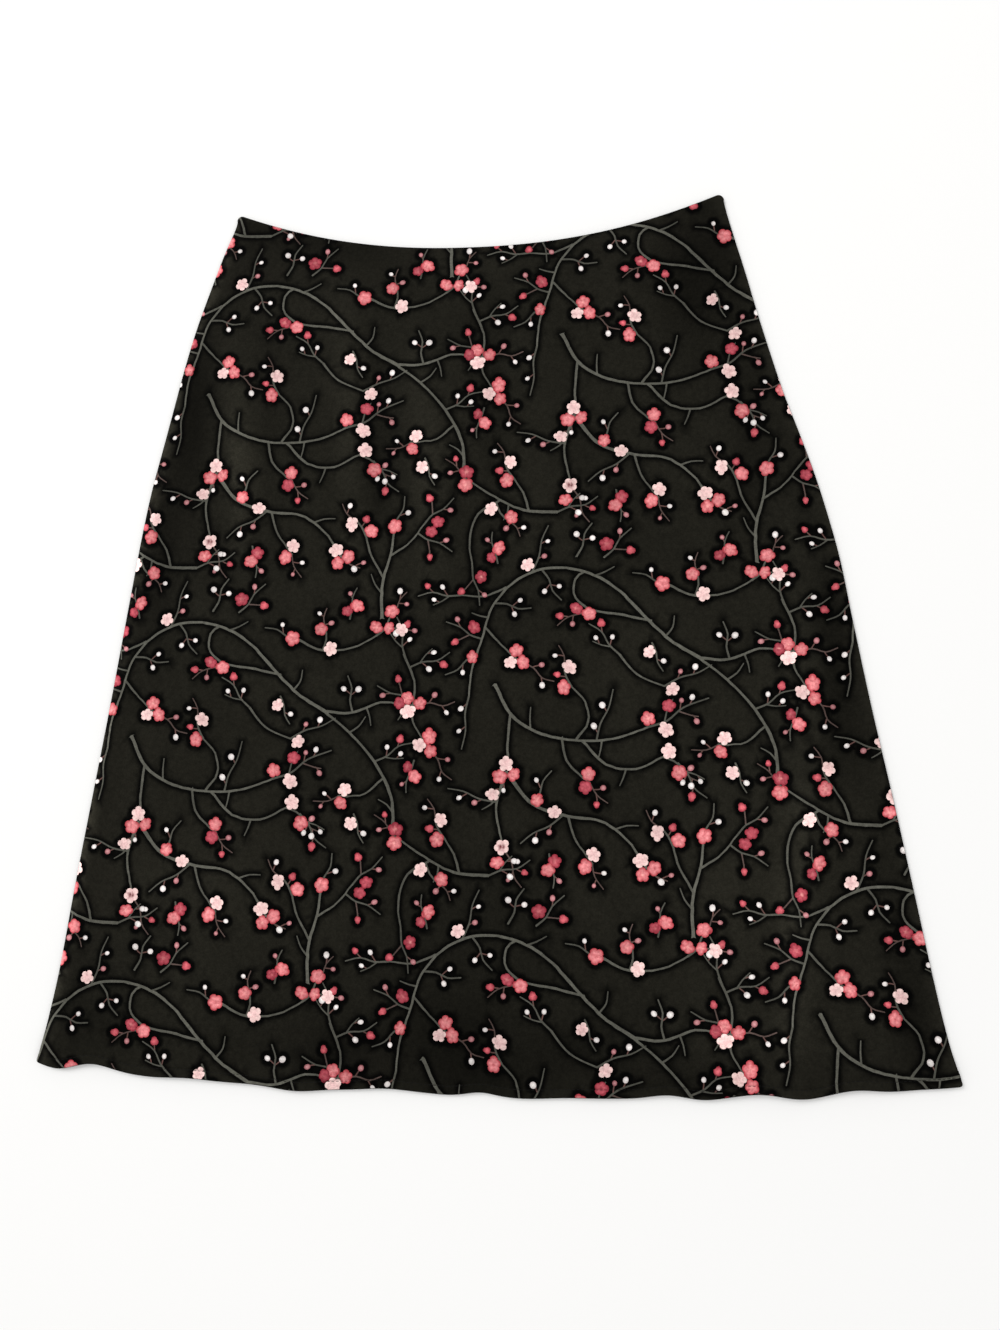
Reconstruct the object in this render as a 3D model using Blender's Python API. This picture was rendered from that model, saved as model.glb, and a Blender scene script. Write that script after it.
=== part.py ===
# A-line skirt laid flat on a surface: a front and a back cut in one piece each,
# joined at the side seams, with a turned waist edge and a narrow rolled hem.
#
# Metres, +Z up.  X runs across the skirt, the waist is towards +Y and the hem
# towards -Y.  The back lies flat on z = 0 and the front lies on the back.
# The origin is at the middle of the bounding box, on the surface.

import math

import bmesh
import bpy
import numpy as np

MM = 0.001

# ---------------------------------------------------------------- cut of the skirt
SIDE_DEPTH = 613.0 * MM      # waist corner to hem corner, measured down the middle line
WAIST_DIP = 33.5 * MM        # how far the waist edge hangs below its corners
WAIST_DIP_POWER = 2.2        # shape of that curve: 2 is a parabola
HEM_SAG = 14.0 * MM          # how far the hem hangs below its corners
HEM_SAG_POWER = 2.6
TOP_LEVEL = 340.0 * MM       # waist corners above the middle of the hips
TOP_TILT = 1.3 * MM          # the left waist corner lies this much higher, the right lower

# Side edges: how far the left and the right edge lie from the middle line,
# at each depth below the waist corners.
SIDE_EDGES = [
    # depth, left, right   (mm)
    (0, 181.0, 176.5),
    (9, 182.2, 177.4),
    (30, 190.5, 182.5),
    (60, 201.0, 190.5),
    (90, 210.8, 198.0),
    (120, 218.8, 206.0),
    (150, 225.8, 214.5),
    (180, 232.8, 224.5),
    (210, 239.8, 234.0),
    (240, 245.3, 242.0),
    (270, 250.0, 248.8),
    (310, 256.0, 255.3),
    (370, 265.0, 265.5),
    (430, 274.5, 276.8),
    (490, 284.0, 287.5),
    (550, 293.0, 298.0),
    (590, 301.0, 306.0),
    (613, 306.0, 312.5),
]

# Gentle waves of the narrow hem, from left to right.  "down" moves the hem line
# outwards, "lift" raises it from the layer under it, both fading up the skirt.
HEM_WAVES = [
    # x, half_width, down, lift, reach   (mm)
    (-292, 15, 3.4, 0.4, 40),
    (-264, 16, -3.6, 1.7, 60),
    (-226, 20, 0.8, 0.3, 60),
    (-196, 17, -1.1, 1.2, 90),
    (-158, 18, -0.4, 0.4, 60),
    (-122, 19, 2.2, 0.6, 70),
    (-60, 21, -2.2, 0.7, 70),
    (-17, 13, 0.6, 0.0, 40),
    (4, 12, -2.0, 0.5, 60),
    (33, 22, 1.4, 0.3, 80),
    (80, 16, 0.0, 0.9, 90),
    (126, 15, -2.6, 1.2, 80),
    (150, 13, 0.9, 0.1, 60),
    (184, 18, -2.6, 1.7, 110),
    (214, 15, 1.6, 0.3, 70),
    (246, 17, -2.9, 1.6, 90),
    (282, 17, -0.4, 0.5, 60),
]

# Soft ridges (height above 0) and troughs (below 0) of the front, running down
# the skirt.  Each goes from its top point to its bottom point.
RELIEF = [
    # x_top, depth_top, x_bottom, depth_bottom, half_width, height   (mm)
    (-180, 80, -167, 270, 10, 2.9),
    (-196, 240, -204, 340, 14, 0.8),
    (-152, 70, -150, 230, 8, -0.8),
    (-124, 80, -126, 300, 11, 0.6),
    (-101, 30, -86, 260, 10, 2.6),
    (-74, 50, -70, 240, 8, -1.4),
    (-43, 55, -29, 290, 11, 2.8),
    (8, 20, 12, 220, 13, -1.2),
    (38, 70, 40, 280, 20, 0.8),
    (152, 5, 157, 130, 23, -1.3),
    (188, 90, 192, 260, 11, -1.1),
    (-207, 110, -233, 320, 9, -1.2),
    (239, 260, 246, 430, 11, -1.3),
    (216, 230, 232, 420, 10, 0.8),
    (224, 360, 202, 635, 11, 3.0),
    (152, 370, 172, 620, 34, 1.1),
    (-236, 360, -262, 560, 18, 0.8),
    (-172, 370, -190, 620, 40, 1.0),
    (278, 510, 286, 640, 12, -1.2),
    (-20, 450, -10, 640, 70, -0.9),
]

# ---------------------------------------------------------------- cloth and lay
WALL = 1.0 * MM              # cloth of the panels
ROLL_DEPTH = 6.0 * MM        # depth of the rolled hem
ROLL_THICK = 1.8 * MM        # two layers of cloth rolled together
SEAM_GAP = 0.3 * MM          # between pieces that are sewn to each other
LOFT = 1.75 * MM             # how far the front stands off the back in the middle
SIDE_ROLL = 38.0 * MM        # width over which the front turns down to the side seam
WAIST_ROLL = 45.0 * MM       # and down to the waist edge
HEM_ROLL = 90.0 * MM         # and down to the hem
MAX_LOFT = 4.6 * MM
WAIST_STEP = 1.5 * MM        # the back's waist edge lies this much below the front's
HEM_STEP = 2.5 * MM          # the back's hem is tucked this much under the front's

COLUMNS = 72                 # cells across a panel
FRONT_ROWS = 21              # cells down the front
BACK_ROWS = 21               # the same stations, so the side edges match


def smooth(a, b, v):
    """0 below a, 1 above b, with a soft change between."""
    k = min(max((v - a) / (b - a), 0.0), 1.0)
    return k * k * (3.0 - 2.0 * k)


def side_edges(depth):
    """Left and right distances from the middle line at a depth, as one smooth curve."""
    rows = SIDE_EDGES
    d = depth / MM
    i = 0
    while i < len(rows) - 2 and d > rows[i + 1][0]:
        i += 1
    d0, d1 = rows[i][0], rows[i + 1][0]
    k = (d - d0) / (d1 - d0)
    out = []
    for col in (1, 2):
        p1, p2 = rows[i][col], rows[i + 1][col]
        if i > 0:
            m1 = (p2 - rows[i - 1][col]) / (d1 - rows[i - 1][0]) * (d1 - d0)
        else:
            m1 = p2 - p1
        if i + 2 < len(rows):
            m2 = (rows[i + 2][col] - p1) / (rows[i + 2][0] - d0) * (d1 - d0)
        else:
            m2 = p2 - p1
        h = ((2 * k**3 - 3 * k**2 + 1) * p1 + (k**3 - 2 * k**2 + k) * m1
             + (-2 * k**3 + 3 * k**2) * p2 + (k**3 - k**2) * m2)
        out.append(h * MM)
    return out


def hem_wave(x, column):
    """Sum of the hem waves' effect at x: column 2 is down, 3 is lift."""
    total = 0.0
    for row in HEM_WAVES:
        total += row[column] * MM * math.exp(-(((x / MM) - row[0]) / row[1]) ** 2)
    return total


def plan(s, t, waist_step=0.0, hem_step=0.0, waves=1.0):
    """Point of the sheet seen from above: s is -1..1 across, t is 0 waist..1 hem."""
    left, right = side_edges(t * SIDE_DEPTH)
    x = (right - left) / 2 + (right + left) / 2 * s
    top = TOP_LEVEL - TOP_TILT * s - WAIST_DIP * (1 - abs(s) ** WAIST_DIP_POWER) - waist_step
    bottom = TOP_LEVEL - SIDE_DEPTH - HEM_SAG * (1 - abs(s) ** HEM_SAG_POWER) + hem_step
    y = top + (bottom - top) * t
    y -= waves * hem_wave(x, 2) * smooth(0.80, 1.0, t) ** 1.5
    return x, y


def loft(x, s, t):
    """Height of the front's inner face above the back."""
    depth = t * SIDE_DEPTH
    left, right = side_edges(depth)
    from_side = (left + right) / 2 * (1 - abs(s))
    roll = 1 - (1 - min(from_side / SIDE_ROLL, 1.0)) ** 2.2
    waist = 0.35 + 0.65 * smooth(0.0, WAIST_ROLL, depth)
    hem = 0.30 + 0.70 * smooth(0.0, HEM_ROLL, SIDE_DEPTH - depth)
    z = LOFT * roll * waist * hem
    for x0, d0, x1, d1, width, height in RELIEF:
        k = (depth / MM - d0) / (d1 - d0)
        if 0.0 < k < 1.0:
            line = x0 + (x1 - x0) * k
            across = math.exp(-(((x / MM) - line) / width) ** 2)
            z += height * MM * across * math.sin(math.pi * k) ** 0.8 * roll
    for x0, width, down, lift, reach in HEM_WAVES:
        up = (SIDE_DEPTH - depth) / MM
        if up < reach * 1.8:
            fade = math.exp(-((up / reach) ** 2) * 2.0)
            z += lift * MM * math.exp(-(((x / MM) - x0) / width) ** 2) * fade * roll
    z = min(max(z, 0.0), MAX_LOFT)
    # room for the back's rolled hem, which is thicker than the back itself;
    # the side seams keep the two layers together until just above it
    start = 0.955 - 0.055 * smooth(0.0, 60.0 * MM, from_side)
    z += (ROLL_THICK - WALL) * 1.5 * smooth(start, 0.985, t)
    return SEAM_GAP + z


def rows_down(count, start, end):
    """Rows from start to end, closer together near the waist and the hem."""
    rows = []
    for i in range(count + 1):
        k = i / count
        rows.append(start + (end - start) * (k - 0.055 * math.sin(2 * math.pi * k)))
    return rows


def new_material(name, color, roughness):
    mat = bpy.data.materials.new(name)
    mat.use_nodes = True
    shader = mat.node_tree.nodes["Principled BSDF"]
    shader.inputs["Base Color"].default_value = (*color, 1.0)
    shader.inputs["Roughness"].default_value = roughness
    shader.inputs["Metallic"].default_value = 0.0
    return mat


def add_object(name, bm, material):
    mesh = bpy.data.meshes.new(name)
    bmesh.ops.recalc_face_normals(bm, faces=bm.faces)
    bm.to_mesh(mesh)
    bm.free()
    mesh.materials.append(material)
    obj = bpy.data.objects.new(name, mesh)
    bpy.context.scene.collection.objects.link(obj)
    mesh.shade_smooth()
    mesh.set_sharp_from_angle(angle=math.radians(40))
    return obj


def panel(name, rows, point, material):
    """A sheet of cloth from a grid of points, thickened upwards to a closed wall."""
    bm = bmesh.new()
    grid = []
    for t in rows:
        grid.append([bm.verts.new(point(-1 + 2 * j / COLUMNS, t)) for j in range(COLUMNS + 1)])
    for i in range(len(rows) - 1):
        for j in range(COLUMNS):
            # counter-clockwise seen from above, so the face points up
            bm.faces.new((grid[i][j], grid[i + 1][j], grid[i + 1][j + 1], grid[i][j + 1]))
    mesh = bpy.data.meshes.new(name)
    bm.to_mesh(mesh)
    bm.free()
    mesh.materials.append(material)
    obj = bpy.data.objects.new(name, mesh)
    bpy.context.scene.collection.objects.link(obj)
    wall = obj.modifiers.new("cloth", "SOLIDIFY")
    wall.thickness = WALL
    wall.offset = 1.0
    wall.use_even_offset = True
    wall.use_rim = True
    mesh.shade_smooth()
    return obj


def rolled_hem(name, line, material, flat_below):
    """A rolled hem: a flat oval section carried along the hem line.

    line holds, for each station, the roll's upper edge and lower edge as
    (x, y, z of its underside)."""
    bm = bmesh.new()
    # section: fraction of the roll's depth, fraction of its thickness
    if flat_below:
        section = [(0.0, 0.0), (0.80, 0.0), (1.0, 0.35), (1.0, 0.70), (0.80, 1.0), (0.12, 1.0), (0.0, 0.80)]
    else:
        section = [(0.0, 0.20), (0.12, 0.0), (0.80, 0.0), (1.0, 0.32), (1.0, 0.68), (0.80, 1.0), (0.12, 1.0), (0.0, 0.80)]
    rings = []
    for upper, lower in line:
        ring = []
        for along, high in section:
            x = upper[0] + (lower[0] - upper[0]) * along
            y = upper[1] + (lower[1] - upper[1]) * along
            z = upper[2] + (lower[2] - upper[2]) * along + ROLL_THICK * high
            ring.append(bm.verts.new((x, y, z)))
        rings.append(ring)
    n = len(section)
    for a, b in zip(rings[:-1], rings[1:]):
        for i in range(n):
            bm.faces.new((a[i], a[(i + 1) % n], b[(i + 1) % n], b[i]))
    bm.faces.new(rings[0])
    bm.faces.new(list(reversed(rings[-1])))
    return add_object(name, bm, material)


def main():
    for obj in list(bpy.data.objects):
        bpy.data.objects.remove(obj, do_unlink=True)

    front_cloth = new_material("front_cloth", (0.014, 0.014, 0.013), 0.82)
    back_cloth = new_material("back_cloth", (0.014, 0.014, 0.013), 0.82)
    front_hem_cloth = new_material("front_hem_cloth", (0.014, 0.014, 0.013), 0.82)
    back_hem_cloth = new_material("back_hem_cloth", (0.014, 0.014, 0.013), 0.82)

    roll_share = (ROLL_DEPTH + SEAM_GAP) / (SIDE_DEPTH - WAIST_DIP)   # of the panel's length

    def front_point(s, t):
        x, y = plan(s, t)
        return x, y, WALL + loft(x, s, t)

    def back_point(s, t):
        x, y = plan(s, t, WAIST_STEP, HEM_STEP, 0.6)
        return x, y, 0.0

    objects = []
    front_rows = rows_down(FRONT_ROWS, 0.0, 1.0 - roll_share)
    objects.append(panel("front_panel", front_rows, front_point, front_cloth))
    back_rows = rows_down(BACK_ROWS, 0.0, 1.0 - roll_share)
    objects.append(panel("back_panel", back_rows, back_point, back_cloth))

    # rolled hems: from just below each panel's edge to the hem line
    roll_top = 1.0 - ROLL_DEPTH / (SIDE_DEPTH - WAIST_DIP)
    below = (ROLL_THICK - WALL) / 2
    front_line, back_line = [], []
    for j in range(COLUMNS + 1):
        s = -1 + 2 * j / COLUMNS
        points = []
        for t in (roll_top, 1.0):
            x, y, z = front_point(s, t)
            points.append((x, y, z - below))
        front_line.append(points)
        points = []
        for t in (roll_top, 1.0):
            x, y, z = back_point(s, t)
            points.append((x, y, 0.0))
        back_line.append(points)
    objects.append(rolled_hem("front_hem", front_line, front_hem_cloth, False))
    objects.append(rolled_hem("back_hem", back_line, back_hem_cloth, True))

    # put the origin under the middle of the whole skirt's box
    bpy.context.view_layer.update()
    graph = bpy.context.evaluated_depsgraph_get()
    low = np.array([1e9, 1e9])
    high = -low
    for obj in objects:
        shape = obj.evaluated_get(graph).to_mesh()
        co = np.empty(len(shape.vertices) * 3)
        shape.vertices.foreach_get("co", co)
        co = co.reshape(-1, 3)[:, :2]
        low = np.minimum(low, co.min(axis=0))
        high = np.maximum(high, co.max(axis=0))
        obj.evaluated_get(graph).to_mesh_clear()
    middle = (low + high) / 2
    skirt = bpy.data.objects.new("skirt", None)
    bpy.context.scene.collection.objects.link(skirt)
    skirt.location = (-middle[0], -middle[1], 0.0)
    for obj in objects:
        obj.parent = skirt
    bpy.context.view_layer.update()
    print("middle of the box (mm):", round(middle[0] / MM, 3), round(middle[1] / MM, 3))


main()
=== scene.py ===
import math
import random

import bpy
import numpy as np
from mathutils import Matrix, Vector
from mathutils.geometry import delaunay_2d_cdt


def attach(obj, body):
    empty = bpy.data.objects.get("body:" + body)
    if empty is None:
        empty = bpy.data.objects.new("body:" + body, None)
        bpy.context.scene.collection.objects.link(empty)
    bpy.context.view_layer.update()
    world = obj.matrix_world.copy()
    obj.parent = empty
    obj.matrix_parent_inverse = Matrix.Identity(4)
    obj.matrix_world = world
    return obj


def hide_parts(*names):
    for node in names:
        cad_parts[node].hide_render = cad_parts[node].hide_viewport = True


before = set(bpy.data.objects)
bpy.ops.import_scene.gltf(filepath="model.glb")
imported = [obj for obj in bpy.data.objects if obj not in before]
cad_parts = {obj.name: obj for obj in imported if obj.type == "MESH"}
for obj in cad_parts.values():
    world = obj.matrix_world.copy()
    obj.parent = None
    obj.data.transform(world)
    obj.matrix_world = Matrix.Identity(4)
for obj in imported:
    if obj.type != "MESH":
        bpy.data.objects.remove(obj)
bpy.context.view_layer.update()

# An A-line skirt of black crepe printed with plum-blossom sprays, laid flat.
# Lengths are millimetres in the skirt's plan (x right, y up the skirt, z off
# the surface), as in the solids; MIDDLE is the middle of the skirt's box there.
MIDDLE = (3.25, 26.503)

# ---------------------------------------------------------------- sizes of the skirt

SIDE_DEPTH = 613.0        # down the skirt from the waist's corners to the hem's
WAIST_DIP = 33.5          # the waist edge is this much lower in the middle
HEM_SAG = 14.0            # the hem hangs this much lower in the middle
TOP_LEVEL = 340.0
TOP_TILT = 1.3            # the right waist corner lies lower than the left
WALL = 1.0                # each panel
ROLL_DEPTH = 6.0          # the rolled hem
ROLL_THICK = 1.8
SEAM_GAP = 0.3
LOFT = 1.75               # air between front and back, inside the side folds
SIDE_ROLL = 38.0
WAIST_ROLL = 45.0
HEM_ROLL = 90.0
MAX_LOFT = 4.6
WAIST_STEP = 1.5          # the back shows no edge above the front
HEM_STEP = 2.5
ROLL_SPAN = ROLL_DEPTH / (SIDE_DEPTH - WAIST_DIP)

SIDE_EDGES = [
    # depth, left, right
    (0, 181, 176.5),
    (9, 182.2, 177.4),
    (30, 190.5, 182.5),
    (60, 201, 190.5),
    (90, 210.8, 198),
    (120, 218.8, 206),
    (150, 225.8, 214.5),
    (180, 232.8, 224.5),
    (210, 239.8, 234),
    (240, 245.3, 242),
    (270, 250, 248.8),
    (310, 256, 255.3),
    (370, 265, 265.5),
    (430, 274.5, 276.8),
    (490, 284, 287.5),
    (550, 293, 298),
    (590, 301, 306),
    (613, 306, 312.5),
]

HEM_WAVES = [
    # x, half width, down, lift, reach
    (-292, 15, 3.4, 0.4, 40),
    (-264, 16, -3.6, 1.7, 60),
    (-226, 20, 0.8, 0.3, 60),
    (-196, 17, -1.1, 1.2, 90),
    (-158, 18, -0.4, 0.4, 60),
    (-122, 19, 2.2, 0.6, 70),
    (-60, 21, -2.2, 0.7, 70),
    (-17, 13, 0.6, 0.0, 40),
    (4, 12, -2.0, 0.5, 60),
    (33, 22, 1.4, 0.3, 80),
    (80, 16, 0.0, 0.9, 90),
    (126, 15, -2.6, 1.2, 80),
    (150, 13, 0.9, 0.1, 60),
    (184, 18, -2.6, 1.7, 110),
    (214, 15, 1.6, 0.3, 70),
    (246, 17, -2.9, 1.6, 90),
    (282, 17, -0.4, 0.5, 60),
]

RELIEF = [
    # x at top, depth at top, x at bottom, depth at bottom, half width, height
    (-180, 80, -167, 270, 10, 2.9),
    (-196, 240, -204, 340, 14, 0.8),
    (-152, 70, -150, 230, 8, -0.8),
    (-124, 80, -126, 300, 11, 0.6),
    (-101, 30, -86, 260, 10, 2.6),
    (-74, 50, -70, 240, 8, -1.4),
    (-43, 55, -29, 290, 11, 2.8),
    (8, 20, 12, 220, 13, -1.2),
    (38, 70, 40, 280, 20, 0.8),
    (152, 5, 157, 130, 23, -1.3),
    (188, 90, 192, 260, 11, -1.1),
    (-207, 110, -233, 320, 9, -1.2),
    (239, 260, 246, 430, 11, -1.3),
    (216, 230, 232, 420, 10, 0.8),
    (224, 360, 202, 635, 11, 3.0),
    (152, 370, 172, 620, 34, 1.1),
    (-236, 360, -262, 560, 18, 0.8),
    (-172, 370, -190, 620, 40, 1.0),
    (278, 510, 286, 640, 12, -1.2),
    (-20, 450, -10, 640, 70, -0.9),
]

# Soft spots of painted shade where the front is turned from the light, and of painted light where it faces it.
PAINTED_SHADE_AND_LIGHT = [
    # x, depth, reach across, reach down, strength of the painted shade; below zero the place is painted lighter
    (152, 42, 31, 44, 0.38),
    (-168, 14, 26, 20, 0.16),
    (-112, 6, 62, 15, 0.36),
    (-4, 14, 40, 16, -0.14),
    (-208, 150, 13, 66, 0.48),
    (-229, 250, 12, 60, 0.22),
    (243, 330, 13, 66, 0.26),
    (-98, 586, 38, 22, 0.38),
    (-16, 572, 40, 30, 0.36),
    (-4, 600, 48, 22, 0.40),
    (58, 584, 40, 24, 0.36),
    (-24, 500, 60, 50, 0.06),
    (284, 572, 14, 34, 0.30),
    (136, 602, 46, 15, 0.32),
    (209, 598, 14, 13, 0.20),
    (-270, 590, 20, 18, 0.32),
    (-173, 588, 30, 20, 0.24),
    (-170, 532, 24, 24, 0.20),
    (150, 335, 78, 66, -0.15),
    (206, 470, 44, 78, -0.18),
    (206, 512, 9, 46, -0.26),
    (-84, 482, 58, 46, -0.16),
    (-112, 340, 62, 40, -0.16),
    (-18, 148, 28, 44, -0.18),
    (-172, 200, 13, 48, -0.26),
    (-84, 262, 22, 36, -0.14),
    (-222, 480, 18, 50, -0.16),
]
PAINTED_RIM_HIGHLIGHT = (2.5, 0.5)    # painted highlight along the left and the right side's fold

# Shallow creases that lift the back a little off the surface.
BACK_RELIEF = [
    # x at top, depth at top, x at bottom, depth at bottom, half width, height
    (-120, 80, -138, 300, 12, 0.7),
    (-40, 120, -30, 330, 16, 0.8),
    (62, 70, 74, 260, 13, 0.6),
    (128, 240, 160, 470, 14, 0.7),
    (-170, 300, -196, 520, 15, 0.6),
    (-6, 380, 4, 560, 20, 0.8),
]


def smooth(a, b, x):
    u = np.clip((np.asarray(x, float) - a) / (b - a), 0.0, 1.0)
    return u * u * (3 - 2 * u)


def side_edges(depth):
    """Distances of the two side edges from the middle line, at a depth."""
    table = np.array(SIDE_EDGES, float)
    rows = table[:, 0]
    depth = np.clip(depth, rows[0], rows[-1])
    i = np.clip(np.searchsorted(rows, depth, side="right") - 1, 0, len(rows) - 2)
    before, after = np.maximum(i - 1, 0), np.minimum(i + 2, len(rows) - 1)
    step = rows[i + 1] - rows[i]
    u = (depth - rows[i]) / step
    out = []
    for side in (1, 2):
        v = table[:, side]
        m0 = (v[i + 1] - v[before]) / (rows[i + 1] - rows[before]) * step
        m1 = (v[after] - v[i]) / (rows[after] - rows[i]) * step
        out.append((2 * u**3 - 3 * u**2 + 1) * v[i] + (u**3 - 2 * u**2 + u) * m0
                   + (3 * u**2 - 2 * u**3) * v[i + 1] + (u**3 - u**2) * m1)
    return out


def hem_wave(x):
    total = np.zeros_like(x)
    for x0, width, down, _lift, _reach in HEM_WAVES:
        total += down * np.exp(-((x - x0) / width) ** 2)
    return total


def plan(s, t, steps=(0.0, 0.0), waves=1.0):
    """Plan position for s across (-1 to 1) and t down the skirt (0 to 1)."""
    s, t = np.asarray(s, float), np.asarray(t, float)
    left, right = side_edges(t * SIDE_DEPTH)
    x = (right - left) / 2 + (right + left) / 2 * s
    top = TOP_LEVEL - TOP_TILT * s - WAIST_DIP * (1 - np.abs(s) ** 2.2) - steps[0]
    bottom = TOP_LEVEL - SIDE_DEPTH - HEM_SAG * (1 - np.abs(s) ** 2.6) + steps[1]
    y = top + (bottom - top) * t - waves * hem_wave(x) * smooth(0.8, 1, t) ** 1.5
    return x, y


def unplan(x, y, steps=(0.0, 0.0), waves=1.0):
    """The s and t of points in plan."""
    t = np.clip((TOP_LEVEL - y) / SIDE_DEPTH, -0.05, 1.05)
    s = np.zeros_like(t)
    for _ in range(14):
        left, right = side_edges(t * SIDE_DEPTH)
        s = (x - (right - left) / 2) / ((right + left) / 2)
        bound = np.clip(np.abs(s), 0, 1)
        top = TOP_LEVEL - TOP_TILT * s - WAIST_DIP * (1 - bound ** 2.2) - steps[0]
        bottom = TOP_LEVEL - SIDE_DEPTH - HEM_SAG * (1 - bound ** 2.6) + steps[1]
        t = (y + waves * hem_wave(x) * smooth(0.8, 1, t) ** 1.5 - top) / (bottom - top)
        t = np.clip(t, -0.05, 1.05)
    return s, t


def crease_field(rows, x, depth):
    total = np.zeros_like(x)
    for x_top, top, x_bottom, bottom, width, height in rows:
        k = np.clip((depth - top) / (bottom - top), 0.0, 1.0)
        line = x_top + (x_bottom - x_top) * k
        total += height * np.exp(-((x - line) / width) ** 2) * np.sin(math.pi * np.clip(k, 1e-6, 1 - 1e-6)) ** 0.8
    return total


def front_height(x, s, t):
    """Height of the front's inner face over the surface."""
    depth = t * SIDE_DEPTH
    left, right = side_edges(depth)
    from_side = (right + left) / 2 * (1 - np.clip(np.abs(s), 0, 1))
    roll = 1 - (1 - np.minimum(from_side / SIDE_ROLL, 1)) ** 2.2
    waist = 0.35 + 0.65 * smooth(0, WAIST_ROLL, depth)
    hem = 0.30 + 0.70 * smooth(0, HEM_ROLL, SIDE_DEPTH - depth)
    z = LOFT * roll * waist * hem + crease_field(RELIEF, x, depth) * roll
    up = (1 - t) * SIDE_DEPTH
    for x0, width, _down, lift, reach in HEM_WAVES:
        z = z + lift * np.exp(-((x - x0) / width) ** 2) * np.exp(-2 * (up / reach) ** 2) * roll
    z = np.clip(z, 0, MAX_LOFT)
    start = 0.955 - 0.055 * smooth(0, 60, from_side)
    u = np.clip((t - start) / (0.985 - start), 0, 1)
    return WALL + z + (ROLL_THICK - WALL) * 1.5 * u * u * (3 - 2 * u) + SEAM_GAP


def back_height(x, s, t):
    """Height of the back's outer face, which rests on the surface."""
    depth = t * SIDE_DEPTH
    left, right = side_edges(depth)
    from_side = (right + left) / 2 * (1 - np.clip(np.abs(s), 0, 1))
    return crease_field(BACK_RELIEF, x, depth) * smooth(10, 60, from_side)


# ---------------------------------------------------------------- camera, light, floor

EYE = (0.0784, -0.1036, 0.6895)
SIGHT = (-0.0939, 0.1106, -0.9894)
RIGHTWARD = (0.9955, 0.0010, -0.0944)
UPWARD = (0.0095, 0.9939, 0.1102)


def add_camera():
    data = bpy.data.cameras.new("camera")
    data.sensor_fit = "AUTO"
    data.sensor_width = 36.0
    data.lens = 36.0 * 1000 / 1330
    data.clip_start = 0.02
    data.clip_end = 50.0
    camera = bpy.data.objects.new("camera", data)
    bpy.context.scene.collection.objects.link(camera)
    rows = [[RIGHTWARD[i], UPWARD[i], -SIGHT[i], EYE[i]] for i in range(3)]
    camera.matrix_world = Matrix(rows + [[0, 0, 0, 1]])
    bpy.context.scene.camera = camera


def add_light():
    world = bpy.data.worlds.new("studio")
    bpy.context.scene.world = world
    world.use_nodes = True
    background = world.node_tree.nodes["Background"]
    background.inputs["Color"].default_value = (1.0, 0.985, 0.965, 1.0)
    background.inputs["Strength"].default_value = 0.62
    lamps = [
        # name, place, aimed at, size, watts
        ("key", (-1.8, 1.7, 3.0), (0.0, 0.0, 0.0), 1.9, 68.0),
        ("fill", (2.4, -1.2, 3.0), (0.0, 0.0, 0.0), 2.6, 21.0),
    ]
    for name, place, target, size, power in lamps:
        data = bpy.data.lights.new(name, "AREA")
        data.shape = "SQUARE"
        data.size = size
        data.energy = power
        data.color = (1.0, 0.985, 0.96)
        lamp = bpy.data.objects.new(name, data)
        bpy.context.scene.collection.objects.link(lamp)
        lamp.location = place
        lamp.rotation_euler = (Vector(target) - Vector(place)).to_track_quat("-Z", "Y").to_euler()


def add_floor():
    size = 4.0
    data = bpy.data.meshes.new("floor")
    data.from_pydata([(-size, -size, 0), (size, -size, 0), (size, size, 0), (-size, size, 0)], [], [(0, 1, 2, 3)])
    floor = bpy.data.objects.new("floor", data)
    bpy.context.scene.collection.objects.link(floor)
    floor.location.z = -0.0002
    material = bpy.data.materials.new("floor_white")
    material.use_nodes = True
    shader = material.node_tree.nodes["Principled BSDF"]
    shader.inputs["Base Color"].default_value = (0.975, 0.985, 0.995, 1.0)
    shader.inputs["Roughness"].default_value = 0.9
    shader.inputs["Specular IOR Level"].default_value = 0.1
    data.materials.append(material)


# ---------------------------------------------------------------- printed pattern

# One repeat of the print in plan millimetres, repeated across and down on the
# bias.  It is laid out from sprays of ordinary plum blossom.
PRINT_ACROSS = (260.0, 35.0)
PRINT_DOWN = (-48.0, -251.0)
PRINT_START = (33.0, 68.0)

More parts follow.
